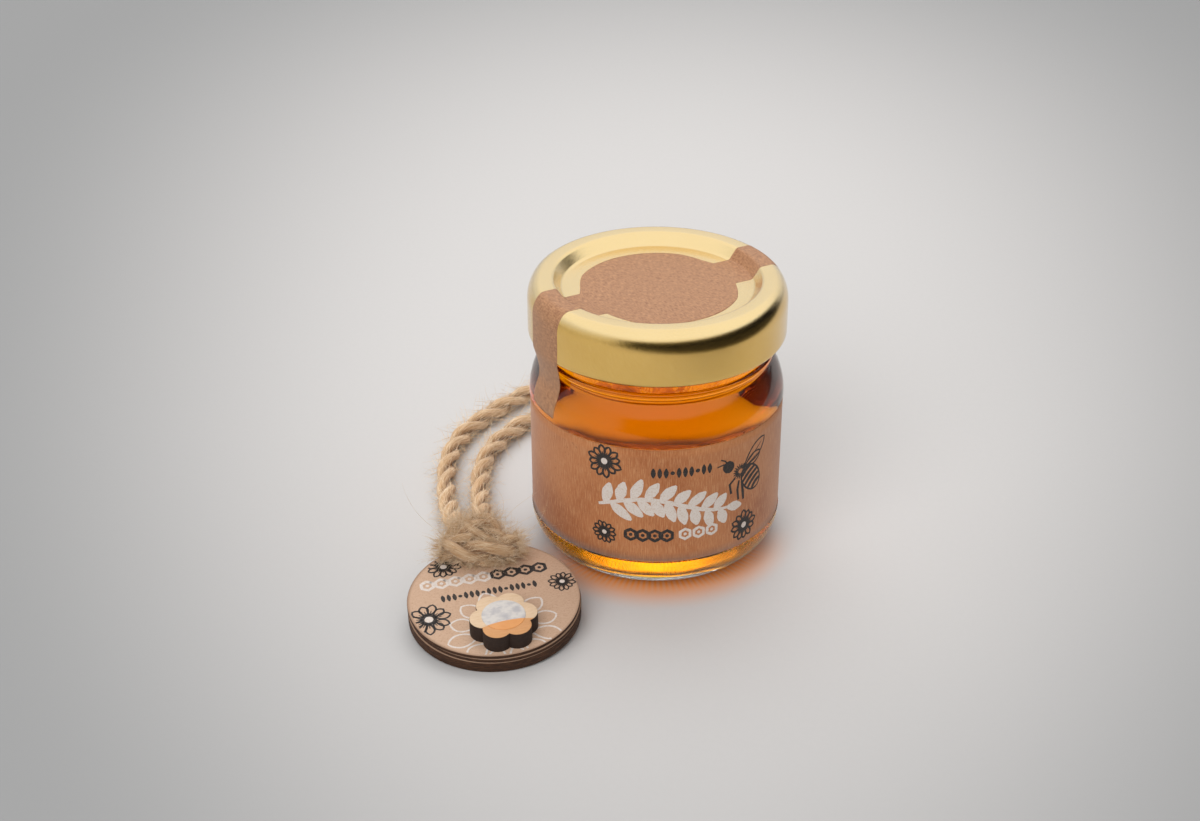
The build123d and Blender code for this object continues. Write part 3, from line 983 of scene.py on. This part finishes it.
def ply(name, line, phase, scale=1.0, step=0.3, sides=26):
    """One ply of a two-ply cord, with its fibres in relief, closed at both ends."""
    placed, rings, painted_crease_shade = sided(evenly(line, step)), [], []
    seed = draw.uniform(0.0, 50.0)
    last = len(placed) - 1
    for k, (here, ahead, side, over) in enumerate(placed):
        far = k * step
        turn = tau * far / CORD_PITCH + phase
        middle = here + (side * cos(turn) + over * sin(turn)) * PLY_REACH * scale
        swell = 1 + 0.13 * noise.noise((far * 0.22, seed, 0.0))
        shut = min(k, last - k, 4) / 4
        skin, depth = [], []
        for j in range(sides):
            a = tau * j / sides
            facing = cos(a - turn)
            ridge = abs(sin(PLY_FIBRES * a / 2 + far * 0.5 + 0.9 * sin(far * 0.21 + seed)))
            rough = noise.noise((3.0 * cos(a), 3.0 * sin(a), far * 0.55 + seed))
            radius = PLY_R * scale * swell * (0.95 + 0.1 * ridge + 0.12 * rough - 0.04 * max(-facing, 0.0))
            point = middle + (side * cos(a) + over * sin(a)) * radius * (0.55 + 0.45 * shut)
            point.z = max(point.z, 0.03)
            skin.append(point)
            # How deep a point lies in the crease towards the other ply and between fibres, for the jute's
            # painted shade.
            depth.append(min(max((0.15 - facing) / 0.7, 0.0), 1.0) * 0.8 + 0.2 * (1 - ridge))
        rings.append(skin)
        painted_crease_shade.append(depth)
    foot = sum(rings[0], Vector()) / sides - placed[0][1] * 0.35 * scale
    tip = sum(rings[-1], Vector()) / sides + placed[-1][1] * 0.35 * scale
    painted_crease_shade = [[0.5], *painted_crease_shade, [0.5]]
    return solid(name, [[foot], *rings, [tip]], lay=lambda i, j: (tau * j / sides * PLY_R, i * step),
                 gap=lambda i, j: painted_crease_shade[i][j])


def cord_mesh(name, line, scale=1.0, step=0.3, sides=26):
    return joined(name, [ply(name, line, phase, scale, step, sides) for phase in (0.0, pi)])


def hair(root, ahead, length, thin, curl, steps=5):
    """Rings of one fine fibre that leaves its root and curls."""
    way, here, rings = ahead.normalized(), Vector(root), []
    wander = astray(1)
    for k in range(steps + 1):
        side = way.orthogonal().normalized()
        over = way.cross(side)
        r = thin * (1 - 0.75 * k / steps)
        skin = [here + (side * cos(a) + over * sin(a)) * r for a in (0.0, tau / 3, 2 * tau / 3)]
        rings.append([Vector((p.x, p.y, max(p.z, 0.02))) for p in skin])
        wander += astray(0.5)
        way = (way + wander * curl / steps).normalized()
        here = here + way * length / steps
    return rings


def hair_mesh(name, fibres):
    """Many fibres in one mesh, each a thin tube closed by its two ends' triangles."""
    points, faces = [], []
    for rings in fibres:
        start = len(points)
        points += [p * MM for ring in rings for p in ring]
        for i in range(len(rings) - 1):
            a, b = start + 3 * i, start + 3 * i + 3
            faces += [(a + k, a + (k + 1) % 3, b + (k + 1) % 3, b + k) for k in range(3)]
        end = start + 3 * len(rings) - 3
        faces += [(start + 2, start + 1, start), (end, end + 1, end + 2)]
    mesh = bpy.data.meshes.new(name)
    mesh.from_pydata(points, [], faces)
    return mesh


def hairs_along(line, count, scale, lengths, spread_out=0.9):
    """Fibres that stand off a cord's surface at random."""
    placed, fibres = sided(evenly(line, 0.5)), []
    for _ in range(count):
        here, ahead, side, over = placed[draw.randrange(len(placed))]
        a = draw.uniform(0.0, tau)
        out = side * cos(a) + over * sin(a)
        root = here + out * (PLY_REACH + PLY_R) * scale * draw.uniform(0.6, 0.92)
        way = ahead * draw.choice((-1, 1)) * draw.uniform(0.5, 1.2) + out * draw.uniform(0.1, spread_out)
        length, thin, curl = (draw.uniform(*bounds) for bounds in (lengths, (0.025, 0.048), (0.1, 0.5)))
        fibres.append(hair(root, way, length, thin, curl))
    return fibres


def frayed_end(tip, way, count, reach):
    """Cut fibres that fan out of a strand's end."""
    side = way.orthogonal().normalized()
    over = way.cross(side)
    fibres = []
    for _ in range(count):
        a, r = draw.uniform(0.0, tau), reach * sqrt(draw.random())
        off = side * cos(a) * r + over * sin(a) * r
        lean = way + off * draw.uniform(0.1, 0.5) + astray(0.22)
        length, thin = draw.uniform(1.2, 3.2), draw.uniform(0.03, 0.055)
        fibres.append(hair(tip + off - way * 0.8, lean, length, thin, 0.25, 4))
    return fibres


STRAY_ROOTS = {    # where the long loose fibres beside the knot start, and the way they go
    (-27.5, -17.0, 9.0): (1.0, 0.5, 0.4), (-26.0, -19.0, 9.0): (1.0, 0.9, 0.2),
    (-28.5, -14.8, 8.5): (0.6, 1.0, 0.6), (-36.0, -18.0, 8.0): (-1.0, 0.5, 0.3),
    (-29.0, -12.0, 7.5): (1.0, 1.0, 0.5), (-25.0, -20.0, 8.6): (0.9, 0.3, 0.5)}


def stray_fibres():
    return [hair(root, Vector(way), draw.uniform(9.0, 15.0), 0.035, 0.55, 16)
            for root, way in STRAY_ROOTS.items()]


# ---------------------------------------------------------------- studio

FLOOR_HALF = 6.0
# A pool of light painted on the floor round the jar, and the floor's tones in it and beyond it.
POOL_AT = (0.003, 0.048)
POOL_SIDE = (0.116, 0.246)               # the painted light pool's half width, and its growth away from the front
POOL_REACH = (0.330, 0.183)              # away from the front, and towards it
FLOOR_IN_PAINTED_POOL = swatch(214, 211, 209)
FLOOR_OUT_OF_PAINTED_POOL = swatch(156, 156, 156)
FLOOR_MIRRORED = (0.63, 0.61, 0.59)      # the floor's painted tone as shiny things show it
FLOOR_THROUGH = (0.88, 0.86, 0.83)       # painted lighter, as clear things show it
FLOOR_SHADED_UNDER_HONEY = (0.62, 0.42, 0.36)   # and as they show it under the jar, darker and warmer as painted shade
PAINTED_HONEY_GLOW = swatch(252, 158, 70)        # painted light: the honey's amber glow on the floor before it, painted into the floor's colour
DARK_SIDE = (0.77, -0.64, 0.0)           # the studio's unlit side, as shiny things see it


def studio_floor(paint):
    """Pale floor with a pool of light painted round the jar, a painted amber glow of the honey before it,
    and painted shade under the jar as clear things show it. Shiny things see it end on the studio's unlit
    side.
    """
    place = paint.node("NewGeometry", out="Position")
    x, y = paint.axes(place, "XY")
    # Painted pool of light: out is how far a point is from its middle, in the pool's own sizes.
    behind = paint.math("MAXIMUM", y - POOL_AT[1], 0.0) / POOL_REACH[0]
    before = paint.math("MAXIMUM", POOL_AT[1] - y, 0.0) / POOL_REACH[1]
    aside = (x - POOL_AT[0]) / paint.math("MAXIMUM", y * POOL_SIDE[1] + POOL_SIDE[0], 0.05)
    out = paint.far(aside, behind + before)
    tone = paint.mix(paint.rise(out, 0.30, 1.28), FLOOR_IN_PAINTED_POOL, FLOOR_OUT_OF_PAINTED_POOL)
    mottle = paint.noise(place, (900.0, 900.0, 900.0), 2.0)
    tone = paint.mix(mottle * 0.05, tone, (0.3, 0.3, 0.3))
    # Painted glow: the amber light that the honey throws on the floor before the jar, with the foot's knurl
    # in it.
    reach = paint.far(x, y)
    ahead = paint.rise((x * 0.15 - y * 0.99) / reach, 0.0, 0.8)
    ticks = foot_ticks(paint, x, y) * (1 - paint.rise(reach, 0.019, 0.023))
    glow = ahead * (1 - paint.rise(reach, 0.0185, 0.0278)) * (0.88 + ticks * 0.12)
    tone = paint.mix(glow, tone, PAINTED_HONEY_GLOW)
    unlit = paint.rise(paint.dot(place, DARK_SIDE), 0.116, 0.134)
    glossy = paint.node("LightPath", out="Is Glossy Ray")
    through = paint.node("LightPath", out="Is Transmission Ray")
    # Clear things show the floor under the jar darker and warmer, as painted shade.
    below = paint.mix(paint.rise(reach, 0.017, 0.026), FLOOR_SHADED_UNDER_HONEY, FLOOR_THROUGH)
    tone = paint.mix(glossy, tone, paint.mix(through, FLOOR_MIRRORED, below))
    tone = paint.mix(unlit * glossy * (1 - through), tone, (0.015, 0.013, 0.011))
    return {"Base Color": tone, "Roughness": 0.85 + mottle * 0.1}


def add_camera():
    camera = set_out("camera", bpy.data.cameras.new("camera"))
    right, up = Vector(CAMERA_RIGHT), Vector(CAMERA_UP)
    turn = Matrix((right, up, right.cross(up))).transposed()
    camera.matrix_world = Matrix.Translation(CAMERA_AT) @ turn.to_4x4()
    camera.data.lens = CAMERA_LENS
    camera.data.sensor_width = 36.0
    camera.data.clip_start = 0.01
    bpy.context.scene.camera = camera


def add_floor():
    mesh = bpy.data.meshes.new("floor")
    corners = [(FLOOR_HALF * x, FLOOR_HALF * y, 0.0) for x, y in ((-1, -1), (1, -1), (1, 1), (-1, 1))]
    mesh.from_pydata(corners, [], [(0, 1, 2, 3)])
    mesh.materials.append(finish("studio floor", studio_floor, Specular_IOR_Level=0.1))
    set_out("floor", mesh)


WORLD_SHOWN = FLOOR_OUT_OF_PAINTED_POOL
WORLD_LIGHT = 0.52       # of the studio's brightness, as light on matt surfaces


def add_world():
    """A soft studio, bright overhead and mild low down. Shiny things see one side of it unlit."""
    world = bpy.data.worlds.new("studio")
    bpy.context.scene.world = world
    world.use_nodes = True
    paint = Paint(world.node_tree)
    way = paint.node("TexCoord", out="Generated")
    x, y, z = paint.axes(way)
    flat = paint.math("SQRT", x * x + y * y + 0.0001)
    sector = paint.rise(paint.dot(way, DARK_SIDE) / flat, 0.02, 0.3)
    studio = 0.80 + 0.35 * paint.rise(z, 0.25, 0.6)
    unlit = 0.012 + 1.15 * paint.rise(z, 0.29, 0.44)
    glossy = paint.node("LightPath", out="Is Glossy Ray")
    through = paint.node("LightPath", out="Is Transmission Ray")
    mirrored = glossy * (1 - through)
    level = studio * WORLD_LIGHT + mirrored * (studio + sector * (unlit - studio) - studio * WORLD_LIGHT)
    level = level + through * (studio - level)
    grey = paint.node("CombineColor", {}, {0: level, 1: level, 2: level})
    seen = paint.node("LightPath", out="Is Camera Ray")
    shader = paint.node("Background", {}, {"Color": paint.mix(seen, grey, WORLD_SHOWN)})
    paint.node("OutputWorld", {}, {"Surface": shader})


def add_lamp(name, place, target, size, power):
    lamp = set_out(name, bpy.data.lights.new(name, "AREA"))
    lamp.data.shape = "DISK"
    lamp.data.size = size
    lamp.data.energy = power
    lamp.location = place
    lamp.rotation_mode = "QUATERNION"
    lamp.rotation_quaternion = (Vector(target) - Vector(place)).to_track_quat("-Z", "Y")
    lamp.visible_glossy = False


# ---------------------------------------------------------------- making

add_camera()

JUTE = finish("jute", jute(0.0), Sheen_Weight=0.25, Specular_IOR_Level=0.25)
JUTE_HAIR = finish("jute hair", jute_hair(0.0), Specular_IOR_Level=0.3)
KNOT_JUTE = finish("jute of the knot", jute(0.38), Sheen_Weight=0.15, Specular_IOR_Level=0.25)
KNOT_HAIR = finish("jute hair of the knot", jute_hair(0.25), Specular_IOR_Level=0.3)
cord_line = smooth_line(CORD_ROUTE)
cord = piece("cord", cord_mesh("cord", cord_line), JUTE, ("cord_loop",), crease=80.0)
cord_hairs = piece("cord_hairs", hair_mesh("cord_hairs", hairs_along(cord_line, 4400, 1.0, (1.5, 5.5), 0.7)),
                   JUTE_HAIR, crease=80.0)

knot_lines = {name: smooth_line([tuple(v * MM for v in p) for p in route])
              for name, route in KNOT_STRANDS.items()}
knot_meshes = [cord_mesh(name, line, KNOT_THICK.get(name, 1.0), 0.35, 20)
               for name, line in knot_lines.items()]
knot = piece("cord_knot_strands", joined("cord_knot_strands", knot_meshes), KNOT_JUTE,
             ("cord_knot",), crease=80.0)
knot_fibres = []
for name, line in knot_lines.items():
    count = 90 if name in UNDERNEATH else 720
    knot_fibres += hairs_along(line, count, KNOT_THICK.get(name, 1.0), (1.2, 4.6), 1.5)
    if name in FRAYED:
        knot_fibres += frayed_end(line[0], (line[0] - line[8]).normalized(), 260, 1.9)
        knot_fibres += frayed_end(line[-1], (line[-1] - line[-9]).normalized(), 330, 2.1)
knot_hairs = piece("cord_knot_hairs", hair_mesh("cord_knot_hairs", knot_fibres + stray_fibres()),
                   KNOT_HAIR, crease=80.0)

# Glass and honey that touch mirror nothing where they meet
NO_GLINT = (0.0, 0.0, 0.0)
GLASS, WET_GLASS = (
    finish(name, clear_glass, Transmission_Weight=1.0, IOR=1.52, Specular_Tint=tint)
    for name, tint in (("clear glass", (0.55, 0.55, 0.55)), ("glass against honey", NO_GLINT)))
HONEY = finish("amber honey", amber_honey, soaks_up=((0.9965, 0.892, 0.0), 300.0), Transmission_Weight=1.0,
               IOR=1.49, Specular_Tint=NO_GLINT)
GOLD = finish("brushed gold", brushed_gold, Metallic=1.0, Coat_Weight=0.6, Coat_Roughness=0.12, Coat_IOR=1.5)
glass = piece("glass", jar_glass(), GLASS, ("jar_glass",))
glass.data.materials.append(WET_GLASS)
for face in glass.data.polygons:
    middle = face.center / MM
    inside = face.normal.xy.dot(middle.xy) <= 0 and middle.xy.length < INNER_R + 0.1
    face.material_index = int(inside and GLASS_FLOOR_Z < middle.z < HONEY_TOP)
piece("honey_fill", honey(), HONEY, ("honey",))
piece("cap", lid(), GOLD, ("lid",))

KRAFT = finish("kraft label", kraft_label, Sheen_Weight=0.25, Specular_IOR_Level=0.3)
# The glued side's emission is painted light, standing in for light that comes through the paper from
# outside.
GLUED = finish("kraft label's glued side, painted light", glued_side_painted_light, Emission_Strength=1.0, Specular_IOR_Level=0.0)
LINEN = finish("linen seal paper", linen_seal, Specular_IOR_Level=0.5)
piece("label", label("label", PANEL_R + PAPER_LIFT), KRAFT, ("body_label",),
      thick=PAPER - PAPER_LIFT)
piece("label_back_painted_light", label("label_back_painted_light", GLUED_SIDE_R), GLUED)
piece("seal", seal(), LINEN, ("lid_seal",), thick=PAPER - PAPER_LIFT)
printed(("label_print_black", "label_print_white"), label_print(), on_label)

BOARD = finish("tag board", tag_board, Specular_IOR_Level=0.3)
WOOD = finish("pale wood", pale_wood, Specular_IOR_Level=0.3)
FILM = finish("sticker film", sticker_film, Specular_IOR_Level=0.5)
tag_pieces = [piece(f"board_{name}", board(name, *layer), BOARD, (name,), tag_place())
              for name, layer in TAG_LAYERS.items()]
tag_pieces.append(piece("flower", flower(), WOOD, ("tag_flower",), tag_place()))
tag_pieces.append(piece("sticker", sticker(), FILM, ("tag_sticker",), tag_place()))
tag_pieces += printed(("tag_print_black", "tag_print_white"), tag_print(), on_tag, tag_place())

add_floor()
add_world()
add_lamp("key", (-0.05, 0.60, 0.90), (0.0, 0.0, 0.02), 1.0, 5.0)
add_lamp("fill", (-0.35, -0.75, 0.70), (0.0, 0.0, 0.02), 0.9, 6.0)
bpy.context.scene.view_settings.view_transform = "Standard"
